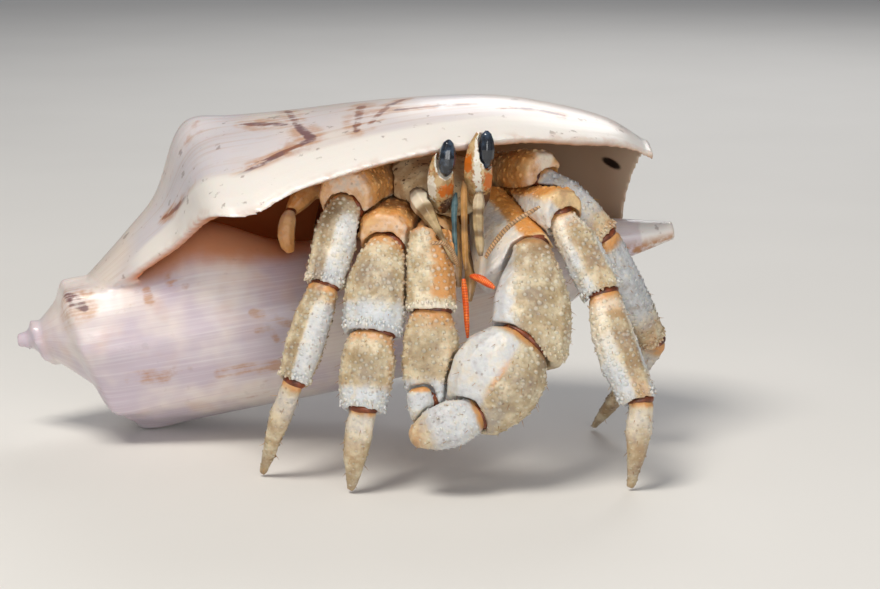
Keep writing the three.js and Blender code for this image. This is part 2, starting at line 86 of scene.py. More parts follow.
# Ranges of degrees: where the early whorls widen, where the mouth's slope ends, where the back is
# drawn in less and less, and where the lead and the droop of the lip set in.
EARLY = (-110, 20)
SLOPED = (160, 285)
BEHIND = (128, 200)
LEADING = (LIP_ANGLE - 70, LIP_ANGLE)
DROOPING = (LIP_ANGLE - 26, LIP_ANGLE)
# From this angle on, the room inside runs out through the canal end, so far past it.
OPEN_FROM = 188
OPEN_REACH = 8
KNOBS_PER_WHORL = 8
KNOB_ANGLE = 273
KNOB_HEIGHT = 1.9
SHOULDER_AT = 29
MOUTH_END = 75.5
MOUTH_SLOPE = 4.5
# A swelling of the belly and a droop of the lip, each with the middle and spread of its bells.
SWELL = 4.6
SWELL_ROUND = (-75, 45)
SWELL_ALONG = (23.5, 6.5)
DROOP = 7
DROOP_ALONG = (30, 5.2)
COLUMN_ALONG = [-0.2, 20, 40, 60, 77.4]
COLUMN_RADII = [0.8, 2.4, 3.2, 3.8, 4.2, 3.7, 1.0]
COLUMN_STEPS = 40
COLUMN_SIDES = 20
# Outer lip: along the axis, away from it, knob share, drawn in behind, degrees ahead.
LIP_PROFILE = np.array([
    [8.2, 5.2, 0, 1, 0],
    [13.0, 8.7, 0, 1, 0],
    [18.1, 12.5, 0.1, 1, 0],
    [22.7, 16.2, 0.3, 1, 0],
    [26.6, 21.8, 1, 1, 2],
    [29.5, 24.0, 1, 1, 3],
    [33.5, 24.6, 0.4, 1, 4.5],
    [39.5, 24.5, 0.1, 1, 3],
    [46.5, 24.2, 0, 1, 0],
    [54.0, 23.3, 0, 1, -3],
    [61.0, 21.9, 0, 0.95, -5],
    [67.0, 19.4, 0, 0.85, -6],
    [72.0, 16.4, 0, 0.62, -10],
    [75.5, 12.6, 0, 0.4, -15],
])
# Points of the finished outline from one row of the table to the next.
SPAN = 5


# ------ small helpers
def ramp(x, low, high):
    """0 below low, 1 above high, smooth between."""
    t = np.clip((x - low) / (high - low), 0, 1)
    return t * t * (3 - 2 * t)


def fade(x, low, high):
    """1 below low, 0 above high."""
    return 1 - ramp(x, low, high)


def bell(x, middle, spread):
    return np.exp(-((x - middle) / spread) ** 2)


def unit(v):
    return v / np.linalg.norm(v)


def rows_of_unit(v):
    return v / np.maximum(np.linalg.norm(v, axis=1, keepdims=True), 1e-9)


def spline_rows(rows, per_span):
    """Catmull-Rom points through the rows of a table."""
    padded = np.vstack([2 * rows[0] - rows[1], rows, 2 * rows[-1] - rows[-2]])
    out = []
    for i in range(len(rows) - 1):
        a, b, c, d = padded[i:i + 4]
        for t in np.arange(per_span) / per_span:
            out.append(0.5 * (2 * b + (c - a) * t + (2 * a - 5 * b + 4 * c - d) * t**2
                              + (3 * b - a - 3 * c + d) * t**3))
    out.append(rows[-1])
    return np.array(out)


def lattice_noise(p, size, seed):
    """Smooth noise from -1 to 1 over points p, with blobs of about the given size."""
    q = p / size
    cell = np.floor(q).astype(np.int64)
    f = q - cell
    f = f * f * (3 - 2 * f)
    total = np.zeros(len(p))
    # The large numbers scramble a corner of the lattice and the seed into one value.
    for corner in range(8):
        step = np.array([corner & 1, corner >> 1 & 1, corner >> 2 & 1])
        k = cell + step
        h = (k[:, 0] * 73856093) ^ (k[:, 1] * 19349663) ^ (k[:, 2] * 83492791) ^ (seed * 2654435761)
        h = (h ^ (h >> 13)) * 1274126177
        value = ((h ^ (h >> 16)) & 0xFFFF) / 32767.5 - 1
        total += value * np.prod(np.where(step, f, 1 - f), axis=1)
    return total


# ------ meshes
# The two steps of a round of smoothing: in towards the neighbours, and back out.
SMOOTH_IN = 0.5
SMOOTH_OUT = -0.53


def new_object(name, data):
    made = bpy.data.objects.new(name, data)
    bpy.context.scene.collection.objects.link(made)
    return made


def new_mesh(name, points, faces):
    mesh = bpy.data.meshes.new(name)
    mesh.from_pydata(points.tolist(), [], faces)
    return mesh


def mesh_points(mesh):
    points = np.empty(len(mesh.vertices) * 3)
    mesh.vertices.foreach_get("co", points)
    return points.reshape(-1, 3)


def mesh_corners(mesh):
    corners = np.empty(len(mesh.loops), int)
    mesh.loops.foreach_get("vertex_index", corners)
    return corners


def nearest(points, others):
    """Which of the others lies nearest to each point, and how far away it is."""
    tree = kdtree.KDTree(len(others))
    for i, other in enumerate(others.tolist()):
        tree.insert(other, i)
    tree.balance()
    hits = [tree.find(point) for point in points.tolist()]
    return np.array([hit[1] for hit in hits]), np.array([hit[2] for hit in hits])


class Surface:
    """Points and faces in millimetres, with named values at the points."""

    def __init__(self, points, faces):
        self.points = np.asarray(points, float)
        self.faces = faces
        self.values = {}

    def paint(self, **values):
        """Sets named values; a single number holds at every point."""
        for name, value in values.items():
            self.values[name] = value + np.zeros(len(self.points))

    def normals(self):
        p = self.points
        corners = self.faces.T
        face_normal = np.cross(p[corners[2]] - p[corners[0]], p[corners[3]] - p[corners[1]])
        total = np.zeros_like(p)
        for corner in corners:
            for axis in range(3):
                total[:, axis] += np.bincount(corner, face_normal[:, axis], len(p))
        return rows_of_unit(total)

    def neighbours(self):
        """Each edge as a point and its neighbour, and the number of neighbours of each point."""
        a = self.faces.T.ravel()
        b = np.roll(self.faces, -1, axis=1).T.ravel()
        return a, b, np.maximum(np.bincount(a, minlength=len(self.points)), 1)

    def blurred(self, values, rounds):
        """Values evened out between neighbouring points."""
        a, b, count = self.neighbours()
        for _ in range(rounds):
            values = 0.5 * values + 0.5 * np.bincount(a, values[b], len(values)) / count
        return values

    def smooth(self, rounds, share=1.0):
        """Taubin smoothing: facets are rounded off and the volume stays. share says how far each
        point takes part."""
        a, b, count = self.neighbours()
        share = np.broadcast_to(share, len(self.points))[:, None]
        for i in range(2 * rounds):
            weight = SMOOTH_OUT if i % 2 else SMOOTH_IN
            mean = np.stack([np.bincount(a, self.points[b, k], len(self.points)) for k in range(3)], 1)
            self.points = self.points + weight * (mean / count[:, None] - self.points) * share


def as_quads(mesh):
    """A Blender mesh as points and four-cornered faces; a triangle has its last corner twice."""
    sizes = np.empty(len(mesh.polygons), int)
    mesh.polygons.foreach_get("loop_total", sizes)
    starts = np.concatenate([[0], np.cumsum(sizes)[:-1]])
    index = starts[:, None] + np.minimum(np.arange(4), sizes[:, None] - 1)
    return Surface(mesh_points(mesh), mesh_corners(mesh)[index])


def remeshed(mesh, voxel):
    """Even quads over a closed mesh that is in millimetres."""
    work = new_object("work", mesh)
    remesh = work.modifiers.new("even", "REMESH")
    remesh.mode = "VOXEL"
    remesh.voxel_size = voxel
    remesh.adaptivity = 0
    evaluated = work.evaluated_get(bpy.context.evaluated_depsgraph_get())
    result = as_quads(evaluated.to_mesh())
    evaluated.to_mesh_clear()
    bpy.data.objects.remove(work)
    return result


def node_surface(name, voxel, rounds, rounding=0.0):
    """A CAD node as an even skin; rounding is the voxel size of a first, coarser smoothing."""
    mesh = NODES[name].data.copy()
    mesh.transform(Matrix.Scale(1 / MM, 4))
    if rounding:
        coarse = remeshed(mesh, rounding)
        coarse.smooth(12)
        mesh.clear_geometry()
        mesh.from_pydata(coarse.points.tolist(), [], coarse.faces.tolist())
    surface = remeshed(mesh, voxel)
    bpy.data.meshes.remove(mesh)
    surface.smooth(rounds)
    return surface


def node_points(name):
    return np.unique(np.round(mesh_points(NODES[name].data) / MM, 4), axis=0)


def join(*surfaces):
    """Several surfaces as one; a value that a surface lacks is 0 there."""
    starts = np.cumsum([0] + [len(s.points) for s in surfaces])
    whole = Surface(np.vstack([s.points for s in surfaces]),
                    np.vstack([s.faces + start for s, start in zip(surfaces, starts)]))
    for name in {name for s in surfaces for name in s.values}:
        rows = [s.values.get(name, np.zeros(len(s.points))) for s in surfaces]
        whole.values[name] = np.concatenate(rows)
    return whole


def add_piece(name, surface, material, replaces=(), atlas=None):
    """The surface as a smooth Blender object that rides on the frame."""
    faces = [tuple(dict.fromkeys(face)) for face in surface.faces.tolist()]
    mesh = new_mesh(name, surface.points * MM, faces)
    for key, values in surface.values.items():
        attribute = mesh.attributes.new(key, "FLOAT", "POINT")
        attribute.data.foreach_set("value", values.astype(np.float32))
    mesh.polygons.foreach_set("use_smooth", [True] * len(mesh.polygons))
    if atlas is not None:
        layer = mesh.uv_layers.new(name="OFBake")
        layer.data.foreach_set("uv", atlas[mesh_corners(mesh)].ravel())
    mesh.materials.append(material)
    piece = new_object(name, mesh)
    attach(piece, "root")
    if replaces:
        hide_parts(*replaces)


# ------ material building
def rgb(text):
    """A written colour such as c9b79a as linear red, green, blue, alpha."""
    parts = [int(text[i:i + 2], 16) / 255 for i in (0, 2, 4)]
    return (*[c / 12.92 if c <= 0.04045 else ((c + 0.055) / 1.055) ** 2.4 for c in parts], 1.0)


class Nodes:
    """A short way to write node materials; a written colour can go wherever a colour goes."""

    def __init__(self, name, **sockets):
        self.material = bpy.data.materials.new(name)
        self.material.use_nodes = True
        self.tree = self.material.node_tree
        self.shader = self.tree.nodes["Principled BSDF"]
        for key, value in sockets.items():
            self.shader.inputs[key.replace("_", " ").title()].default_value = value
        self.place = self.node("ShaderNodeTexCoord", {}).outputs["Object"]

    def plug(self, value, socket):
        if isinstance(value, bpy.types.NodeSocket):
            self.tree.links.new(value, socket)
        else:
            socket.default_value = rgb(value) if isinstance(value, str) else value

    def node(self, kind, inputs, **settings):
        made = self.tree.nodes.new(kind)
        for key, value in settings.items():
            setattr(made, key, value)
        for key, value in inputs.items():
            self.plug(value, made.inputs[key])
        return made

    def value(self, name):
        """A named value of the surface, 0 where the surface has none of that name."""
        return self.node("ShaderNodeAttribute", {}, attribute_name=name).outputs["Fac"]

    def vector(self, x, y, z):
        return self.node("ShaderNodeCombineXYZ", {"X": x, "Y": y, "Z": z}).outputs["Vector"]

    def math(self, operation, a, b):
        return self.node("ShaderNodeMath", {0: a, 1: b}, operation=operation).outputs["Value"]

    def times(self, a, b):
        return self.math("MULTIPLY", a, b)

    def plus(self, a, b):
        return self.math("ADD", a, b)

    def minus(self, a, b):
        return self.math("SUBTRACT", a, b)

    def noise(self, per_mm, detail, vector=None):
        scale = per_mm / MM if vector is None else per_mm
        inputs = {"Vector": vector or self.place, "Scale": scale, "Detail": detail, "Roughness": 0.55}
        return self.node("ShaderNodeTexNoise", inputs).outputs["Fac"]

    def cells(self, per_mm):
        inputs = {"Vector": self.place, "Scale": per_mm / MM}
        return self.node("ShaderNodeTexVoronoi", inputs).outputs["Distance"]

    def ramp(self, value, low, high):
        inputs = {"Value": value, "From Min": low, "From Max": high}
        return self.node("ShaderNodeMapRange", inputs, interpolation_type="SMOOTHSTEP").outputs["Result"]

    def patches(self, per_mm, detail, low, high):
        """Noise drawn together into patches with soft edges."""
        return self.ramp(self.noise(per_mm, detail), low, high)

    def mix(self, share, a, b):
        inputs = {"Factor": share, "A": a, "B": b}
        return self.node("ShaderNodeMix", inputs, data_type="RGBA").outputs["Result"]

    def finish(self, colour, height=None, strength=0.0, distance=0.0):
        """The material in its colour, with height as a fine relief of the given distance (mm)."""
        self.plug(colour, self.shader.inputs["Base Color"])
        if height is not None:
            inputs = {"Strength": strength, "Distance": distance * MM, "Height": height}
            bump = self.node("ShaderNodeBump", inputs)
            self.plug(bump.outputs["Normal"], self.shader.inputs["Normal"])
        return self.material


# ------ the shell
# A spiral about a straight axis: 0 degrees faces front, 90 down, 180 back and 270 up.
AXIS = unit(CANAL_TIP - APEX)
FRONT = np.array([0.0, -1.0, 0.0])
BELOW = unit(np.cross(AXIS, FRONT))
PROFILE = spline_rows(LIP_PROFILE, SPAN)


def shell_points(along, away, degrees):
    angle = np.radians(degrees)[:, None]
    out = FRONT * np.cos(angle) + BELOW * np.sin(angle)
    return APEX + AXIS * along[:, None] + out * away[:, None]


def growth(degrees, ratio):
    return ratio ** ((degrees - LIP_ANGLE) / TURN)


def knob(degrees):
    return ((1 + math.cos(math.radians(KNOBS_PER_WHORL * (degrees - KNOB_ANGLE)))) / 2) ** 2


def ahead(degrees, along, lead):
    """Degrees by which a point of the outline runs ahead of its angle, which sets in near the lip."""
    late = ramp(degrees, *LEADING)
    droop = DROOP * bell(along, *DROOP_ALONG) * ramp(degrees, *DROOPING)
    return lead * late + droop


def whorl_outline(degrees, inset=0.0, mouth=MOUTH_END, reach=0.0, spire=False):
    """Along the axis, away from it and degrees ahead, for the whorl's outline at one angle."""
    size = growth(degrees, LENGTH_RATIO)
    early = fade(degrees, *EARLY)
    spread = growth(degrees, WIDTH_RATIO) * (1 - 0.2 * early)
    rim = mouth - MOUTH_SLOPE * fade(degrees, *SLOPED)
    end = size * MOUTH_END if spire else rim
    behind = fade(degrees, *BEHIND)
    u, r, share, drawn_in, lead = PROFILE.T
    shoulder = size * SHOULDER_AT
    beyond = (u - SHOULDER_AT) / (MOUTH_END - SHOULDER_AT)
    along = np.where(u <= SHOULDER_AT, size * u, shoulder + (end - shoulder) * beyond)
    bump = share * KNOB_HEIGHT * knob(degrees) if inset == 0 else 0
    swell = SWELL * bell(degrees, *SWELL_ROUND) * bell(along, *SWELL_ALONG)
    away = spread * (r * (1 + (drawn_in - 1) * behind) + bump) + swell
    rows = np.stack([along, away, ahead(degrees, u, lead)], 1)
    if inset > 0:
        rows = rows[SPAN:]
        rows[:, 0] += inset * 0.35
        rows[:SPAN, 0] += inset * 0.85 * np.linspace(1, 0, SPAN)
        rows[:, 1] = np.maximum(rows[:, 1] - inset, 0.1)
    last_along, last_away, last_lead = rows[-1]
    narrower, narrowest = (1, 1) if reach else (0.98, 0.6)
    closing = [[last_along + 0.5 + reach, last_away * narrower, last_lead],
               [last_along + 0.7 + reach, last_away * narrowest, last_lead],
               [last_along + 0.8 + reach, CORE, last_lead]]
    return np.vstack([[[rows[0, 0], CORE, 0]], rows, closing])


def spire_outline(degrees):
    return whorl_outline(degrees, spire=True)


def hollow_outline(degrees):
    """The outline of the room inside the last whorl, open at the canal end from OPEN_FROM on."""
    if degrees > OPEN_FROM:
        return whorl_outline(degrees, inset=WALL, reach=OPEN_REACH)
    return whorl_outline(degrees, inset=WALL, mouth=MOUTH_END - 3 * WALL)


def tube(name, points, count):
    """A closed tube through rings of count points each, as a Blender mesh in millimetres."""
    faces = []
    for ring in range(0, len(points) - count, count):
        for j in range(count):
            a = ring + j
            b = ring + (j + 1) % count
            faces.append((a, a + count, b + count, b))
    faces.append(tuple(range(count)))
    faces.append(tuple(range(len(points) - 1, len(points) - count - 1, -1)))
    return new_mesh(name, points, faces)


def sweep(start, end, step, outline):
    """A closed stretch of whorl, its points, and the angle of each point."""
    angles = np.linspace(start, end, max(2, round((end - start) / step)) + 1)
    rings = []
    for degrees in angles:
        along, away, lead = outline(degrees).T
        rings.append(shell_points(along, away, degrees + lead))
    count = len(rings[0])
    points = np.vstack(rings)
    return tube("whorl", points, count), points, np.repeat(angles, count)


def column():
    """The shell's closed middle, round the axis."""
    shares = np.linspace(0, 1, COLUMN_STEPS + 1)
    along = np.interp(shares, np.linspace(0, 1, len(COLUMN_ALONG)), COLUMN_ALONG)
    radii = np.interp(shares, np.linspace(0, 1, len(COLUMN_RADII)), COLUMN_RADII)
    degrees = np.tile(np.linspace(0, TURN, COLUMN_SIDES, endpoint=False), len(shares))
    points = shell_points(np.repeat(along, COLUMN_SIDES), np.repeat(radii, COLUMN_SIDES), degrees)
    return tube("column", points, COLUMN_SIDES)


def cut_out(base, other):
    """The base mesh without the room that the other mesh takes."""
    for mesh in (base, other):
        mesh.validate()
    holder = new_object("base", base)
    tool = new_object("tool", other)
    cut = holder.modifiers.new("cut", "BOOLEAN")
    cut.object = tool
    cut.operation = "DIFFERENCE"
    cut.solver = "EXACT"
    graph = bpy.context.evaluated_depsgraph_get()
    result = bpy.data.meshes.new_from_object(holder.evaluated_get(graph))
    bpy.data.objects.remove(holder)
    bpy.data.objects.remove(tool)
    return result


# Stretches of the spiral from the lip back to its tip: first angle, last angle, step and outline.
STRETCHES = [
    (START + 2, LIP_ANGLE, 3, whorl_outline),
    (START - 270, START + 24, 4, whorl_outline),
    (START - 412, START - 255, 6, spire_outline),
    (START - 720, START - 400, 8, spire_outline),
]
HOLLOW = (START + 60, LIP_ANGLE + 15, 4, hollow_outline)


def build_shell():
    meshes, points, angles = zip(*[sweep(*stretch) for stretch in STRETCHES])
    bm = bmesh.new()
    for mesh in (cut_out(meshes[0], sweep(*HOLLOW)[0]), *meshes[1:], column()):
        bm.from_mesh(mesh)
    bmesh.ops.triangulate(bm, faces=bm.faces[:])
    merged = bpy.data.meshes.new("merged")
    bm.to_mesh(merged)
    bm.free()
    surface = remeshed(merged, SHELL_VOXEL)
    surface.smooth(3)
    mark_shell(surface, np.vstack(points), np.concatenate(angles))
    surface.points[:, 2] = np.maximum(surface.points[:, 2], 0)
    return surface


# Brown strokes near the lip: each row is degrees of growth, distance along the axis, half width.
STROKES = [
    [[276, 36.0, 0.45], [293, 37.5, 0.5], [301, 39.0, 0.6]],
    [[301, 39.0, 0.5], [303, 36.9, 0.36], [305, 32.3, 0.3], [308, 29.9, 0.26], [313, 27.3, 0.15]],
    [[285, 31.0, 0.35], [287, 33.5, 0.6], [290, 36.0, 0.4]],
    [[286, 44.6, 0.6], [302, 44.0, 0.5]],
    [[282, 49.6, 0.3], [289, 47.8, 0.45], [301, 45.4, 0.4]],
    [[294, 48.5, 0.3], [295, 52.9, 0.32], [296, 57.5, 0.18]],
    [[301, 60.0, 0.2], [299, 63.5, 0.45], [301, 66.7, 0.4]],
    [[309, 25.4, 0.3], [305, 23.0, 0.35], [300, 20.4, 0.25]],
    [[311, 24.2, 0.2], [308, 22.0, 0.2]],
    [[-28, 9.6, 0.5], [-36, 8.4, 0.9], [-44, 7.6, 0.5]],
    [[150, 31.5, 0.3], [158, 29.0, 0.35], [146, 27.0, 0.25]],
]
# Ochre marks on the belly, in the same three values.
SMEARS = [
    [[-33, 16.9, 0.3], [-24, 17.2, 0.4]],
    [[-36, 20.3, 0.6], [-33, 20.4, 0.6]],
    [[-3, 28.6, 0.3], [2, 30.4, 0.4], [8, 32.5, 0.3]],
    [[9, 28.6, 0.2], [10, 30.2, 0.3], [17, 30.7, 0.25]],
    [[34, 23.5, 0.4], [35, 27.4, 0.6], [36, 32.0, 0.4]],
    [[26, 13.4, 0.5], [29, 17.2, 0.6]],
]
# The dark fleck inside the mouth, in degrees and along the axis.
FLECK = (230, 71.8)
# The same zigzags run down the rest of the last whorl, from the shoulder to the open end.
ZIGZAG_STARTS = [256, 228, 199, 168]
ZIGZAG_CORNERS = 9
ZIGZAG_SWING = 5
ZIGZAG_STEP = 4.6
for start in ZIGZAG_STARTS:
    STROKES.append([[start + (ZIGZAG_SWING if i % 2 else -ZIGZAG_SWING) + rng.uniform(-4, 4),
                     SHOULDER_AT + ZIGZAG_STEP * i + rng.uniform(-1.5, 1.5),
                     rng.uniform(0.05, 0.6)] for i in range(ZIGZAG_CORNERS)])


def stroke_share(grown, along, radius, strokes, wider):
    """1 on a stroke and 0 away from it, by distance on the shell's surface."""
    best = np.zeros(len(grown))
    for stroke in strokes:
        rows = np.asarray(stroke, float)
        for first, second in zip(rows[:-1], rows[1:]):
            x = np.radians(grown - first[0]) * radius
            y = along - first[1]
            dx = np.radians(second[0] - first[0]) * radius
            dy = np.full_like(y, second[1] - first[1])
            t = np.clip((x * dx + y * dy) / np.maximum(dx * dx + dy * dy, 1e-9), 0, 1)
            distance = np.hypot(x - t * dx, y - t * dy)
            width = first[2] + (second[2] - first[2]) * t
            best = np.maximum(best, fade(distance / wider, 0.4 * width, 1.6 * width))
    return best


def mark_shell(surface, outer, outer_angles):
    """Where each point lies on the spiral, and what shows there."""
    index, depth = nearest(surface.points, outer)
    near_angle = outer_angles[index]
    offset = surface.points - APEX
    along = offset @ AXIS
    away_vector = offset - along[:, None] * AXIS
    away = np.linalg.norm(away_vector, axis=1)
    angle = np.degrees(np.arctan2(away_vector @ BELOW, away_vector @ FRONT))
    lead = np.interp(along, LIP_PROFILE[:, 0], LIP_PROFILE[:, 4])
    grown = angle + TURN * np.round((near_angle - angle) / TURN) - ahead(near_angle, along, lead)
    # Degrees past the lip, negative before it.
    past = (angle - ahead(LIP_ANGLE, along, lead) - LIP_ANGLE + TURN / 2) % TURN - TURN / 2
    at_lip = (near_angle > LIP_ANGLE - 60) * fade(past, 6, 9)

    facing = (surface.normals() * away_vector).sum(1) / np.maximum(away, 0.1)
    turned = fade(facing, 0.0, 0.5)
    inner = ramp(depth, 0.6, 0.85) * ramp(along, 13, 17)
    inner = np.maximum(inner, ramp(along, 60, 64)) * turned
    outside = 1 - inner

    edge = np.maximum(ramp(past, -3.5, -1.5) * at_lip, ramp(along, MOUTH_END - 7, MOUTH_END - 5))
    edge = np.maximum(edge, bell(past, 0, 14) * fade(along, 13, 17) * (depth < 1))
    surface.smooth(40, share=edge)

    band = ramp(grown, LIP_ANGLE - 16, LIP_ANGLE - 8) * ramp(along, 12, 20)
    rim = ramp(along, MOUTH_END - 3, MOUTH_END - 1) * ramp(grown, 60, 150)
    # Peach shade where the belly turns in under the lip.
    turned_in = ramp(-angle, 22, 60) * ramp(-grown, 0, 20) * fade(along, 30, 46)
    rust = ramp(past, -3.0, -1.0) * at_lip * outside * 0.5 * ramp(along, 16, 24)
    down = away_vector @ BELOW / np.maximum(away, 0.1)
    # canal: painted shade on the underside of the canal end, carried in the rust tone through the edge
    # value.
    canal = ramp(along, 66, 72) * ramp(down, -0.1, 0.6)
    evened = {
        "inner": inner,
        "lip": np.maximum(band, 0.8 * rim),
        "peach": turned_in * ramp(along, 11, 16),
        "edge": np.maximum(rust, 2 * canal),
    }
    surface.paint(**{key: surface.blurred(values, 8) for key, values in evened.items()})
    strokes, halo = [stroke_share(grown, along, away, STROKES, wider) for wider in (1.0, 3.2)]
    smears = stroke_share(grown, along, away, SMEARS, 1.8)
    fleck = np.hypot(np.radians(grown - FLECK[0]) * away / 0.85, (along - FLECK[1]) / 1.3)
    surface.paint(
        grown=grown,
        along=along,
        spot=turned * fade(fleck, 0.6, 0.9),
        stroke=strokes * outside,
        halo=np.maximum(halo, smears) * outside,
        # under: painted shade on the inner face just behind the lip.
        under=inner * ramp(past, -26, -8) * at_lip,
        glaze=surface.blurred(fade(grown, 120, 180), 30),
    )


def shell_material():
    n = Nodes("shell", roughness=0.28, coat_weight=0.3, coat_roughness=0.22, subsurface_weight=0.1,
              subsurface_scale=0.0015)
    grown = n.value("grown")
    along = n.value("along")
    inner = n.value("inner")
    lines = n.noise(1.0, 5, n.vector(n.times(grown, 0.55), n.times(along, 0.06), 0.0))
    clouds = n.noise(0.09, 4)
    warp = n.minus(n.noise(0.9, 4), 0.5)
    coarse = n.minus(n.noise(0.28, 4), 0.5)
    streaks = n.minus(lines, 0.5)
    # The belly of the last whorl is a smooth lilac-white glaze, peach where it turns in.
    glaze = n.value("glaze")
    worn = n.minus(1.0, glaze)
    ivory = n.mix(n.ramp(clouds, 0.35, 0.65), "ddd1c6", "cfc3bc")
    ivory = n.mix(n.times(n.patches(0.05, 2, 0.42, 0.6), 0.6), ivory, "c6c3cc")
    ivory = n.mix(n.times(n.ramp(lines, 0.5, 0.72), 0.4), ivory, "b7977f")
    lilac = n.mix(n.patches(0.1, 3, 0.38, 0.62), "e0d4cd", "c4b6c0")
    lilac = n.mix(n.times(n.patches(0.16, 3, 0.55, 0.75), 0.35), lilac, "cfa68a")
    lilac = n.mix(n.times(n.ramp(lines, 0.46, 0.75), 0.35), lilac, "e9e6e6")
    lilac = n.mix(n.times(n.ramp(lines, 0.5, 0.25), 0.3), lilac, "b09cab")
    colour = n.mix(glaze, ivory, lilac)
    peach = n.ramp(n.plus(n.value("peach"), n.times(coarse, 0.5)), 0.15, 0.9)
    colour = n.mix(peach, colour, "c68a66")
    # Ochre smears on the belly and beside the zigzags.
    smear = n.noise(0.34, 5, n.vector(n.times(grown, 0.16), n.times(along, 0.5), 0.0))
    smear = n.ramp(n.plus(smear, n.times(warp, 0.3)), 0.62, 0.76)
    colour = n.mix(n.times(smear, 0.45), colour, "ab7040")
    wander = n.plus(n.times(coarse, 2.4), n.times(streaks, 2.6))
    wander = n.plus(1.0, n.plus(wander, n.times(warp, 1.2)))
    halo = n.ramp(n.times(n.value("halo"), n.minus(wander, 0.3)), 0.2, 1.1)
    colour = n.mix(n.times(halo, 0.65), colour, "b47c48")
    stroke = n.ramp(n.times(n.value("stroke"), wander), 0.3, 1.1)
    brown = n.mix(n.patches(0.25, 3, 0.42, 0.58), "8c5534", "6b4a4e")
    colour = n.mix(n.times(stroke, 0.9), colour, brown)
    lip = n.ramp(n.plus(n.value("lip"), n.times(streaks, 0.4)), 0.25, 0.8)
    colour = n.mix(lip, colour, "e2dcd5")
    # The edge value holds real rust along the lip's edge and painted shade on the underside of the canal
    # end.
    rust = n.times(n.value("edge"), n.patches(0.5, 4, 0.42, 0.6))
    colour = n.mix(n.times(rust, 0.55), colour, "b07a4c")
    dirt = n.times(n.patches(0.7, 6, 0.63, 0.7), 0.5)
    colour = n.mix(n.times(dirt, n.ramp(worn, -0.4, 1.0)), colour, "6d5140")
    inside = n.mix(n.ramp(along, 26, 50), "d87a42", "c08a58")
    inside = n.mix(n.ramp(along, 54, 68), inside, "a98d75")
    inside = n.mix(n.ramp(along, 70, 77), inside, "d6c2ab")
    # Painted shade: a darker brown on the inner face just behind the lip.
    inside = n.mix(n.times(n.value("under"), 0.6), inside, "b87a48")
    colour = n.mix(inner, colour, inside)
    colour = n.mix(n.value("spot"), colour, "241a16")
    height = n.plus(n.times(lines, 0.6), n.times(n.noise(2.5, 3), 0.3))
    height = n.times(height, n.times(worn, n.minus(1.0, inner)))
    height = n.plus(height, n.times(n.noise(0.35, 3), 0.35))
    return n.finish(colour, height, strength=0.3, distance=0.14)


# ------ limbs
CLAWS = ["left_cheliped", "right_cheliped"]
LEGS = ["right_leg2", "right_leg3", "left_leg2", "left_leg3"]
LIMBS = [[f"{claw}_{name}" for name in ("merus", "carpus", "palm", "dactyl")] for claw in CLAWS]
LIMBS += [[f"{leg}_{name}" for name in ("merus", "carpus", "propodus", "dactyl")] for leg in LEGS]
JOINTS = [pair for nodes in LIMBS for pair in zip(nodes[:-1], nodes[1:])]
JOINTS.append(("right_leg4_upper", "right_leg4_lower"))
# Points of two nodes that are this near to each other belong to their joint.
JOINT_REACH = 1.3
# Where the outer face of every segment is turned.
FACE = np.array([0, -1, 0.3])


def meeting(first, second):
    """The points of two nodes that lie close to each other."""
    a = node_points(first)
    b = node_points(second)
    gaps = np.linalg.norm(a[:, None] - b[None], axis=2)
    reach = max(JOINT_REACH, gaps.min() + 0.6)
    return np.vstack([a[gaps.min(1) < reach], b[gaps.min(0) < reach]])


def far_end(name, point):
    points = node_points(name)
    gaps = np.linalg.norm(points - point, axis=1)
    return points[gaps > gaps.max() - 0.9].mean(0)


class Segment:
    """A limb segment's own directions: from its root to its end, its outer face and its side."""

    def __init__(self, start, end):
        self.start = start
        self.length = np.linalg.norm(end - start)
        self.along = (end - start) / self.length
        self.face = unit(FACE - (FACE @ self.along) * self.along)
        self.side = np.cross(self.along, self.face)

    def place(self, points):
        """Share of the length, and how far the point lies towards the face and the side."""
        offset = points - self.start
        t = offset @ self.along
        around = rows_of_unit(offset - t[:, None] * self.along)
        return t / self.length, around @ self.face, around @ self.side


def limb_segments():
    segments = {}
    for nodes in LIMBS:
        joints = [meeting(a, b).mean(0) for a, b in zip(nodes[:-1], nodes[1:])]
        ends = [far_end(nodes[0], joints[0]), *joints, far_end(nodes[-1], joints[-1])]
        for node, start, end in zip(nodes, ends[:-1], ends[1:]):
            segments[node] = Segment(start, end)
    return segments


# Each look gives how far the segment is orange, brown, white and cool at t along it, c towards
# its face and s towards the crab's right. A number alone holds all over it.
def hood(t, c, s):
    side_edge = ramp(-s, 0.6, 0.9) * ramp(c, -0.2, 0.3)
    return dict(
        orange=0.62 * ramp(t, 0.2, 0.6) * (1 - side_edge) + 0.1,
        brown=0.25 * ramp(-c, 0.1, 0.7) + 0.35 * bell(t, 0.45, 0.18),
        white=0.45 * ramp(t, 0.9, 1.0) + 0.6 * side_edge,
        cool=0,
    )


def wedge(t, c, s):
    """A merus with a smooth white inner face and an orange ridge along its left edge."""
    ridge = ramp(-s, -0.1, 0.45)
    return dict(
        orange=0.95 * ridge * fade(t, 0.9, 0.99),
        brown=0.2 * ramp(-s, 0.9, 1.0),
        white=1 - ridge,
        cool=0.5 * (1 - ridge),
    )


def ridged(t, c, s):
    ridge = ramp(c - 0.5 * s, 0.62, 0.95) * ramp(t, 0.12, 0.3)
    return dict(
        orange=0.35 * ramp(-s, 0.2, 0.7) + 0.4 * fade(t, 0.05, 0.25),
        brown=(1 - ridge) * (0.62 * ramp(s, -0.2, 0.25) * fade(s, 0.75, 0.98) + 0.45 * ramp(-s, 0.5, 0.9)),
        white=ridge + 0.4 * ramp(t, 0.8, 0.95),
        cool=0.7 * ridge,
    )


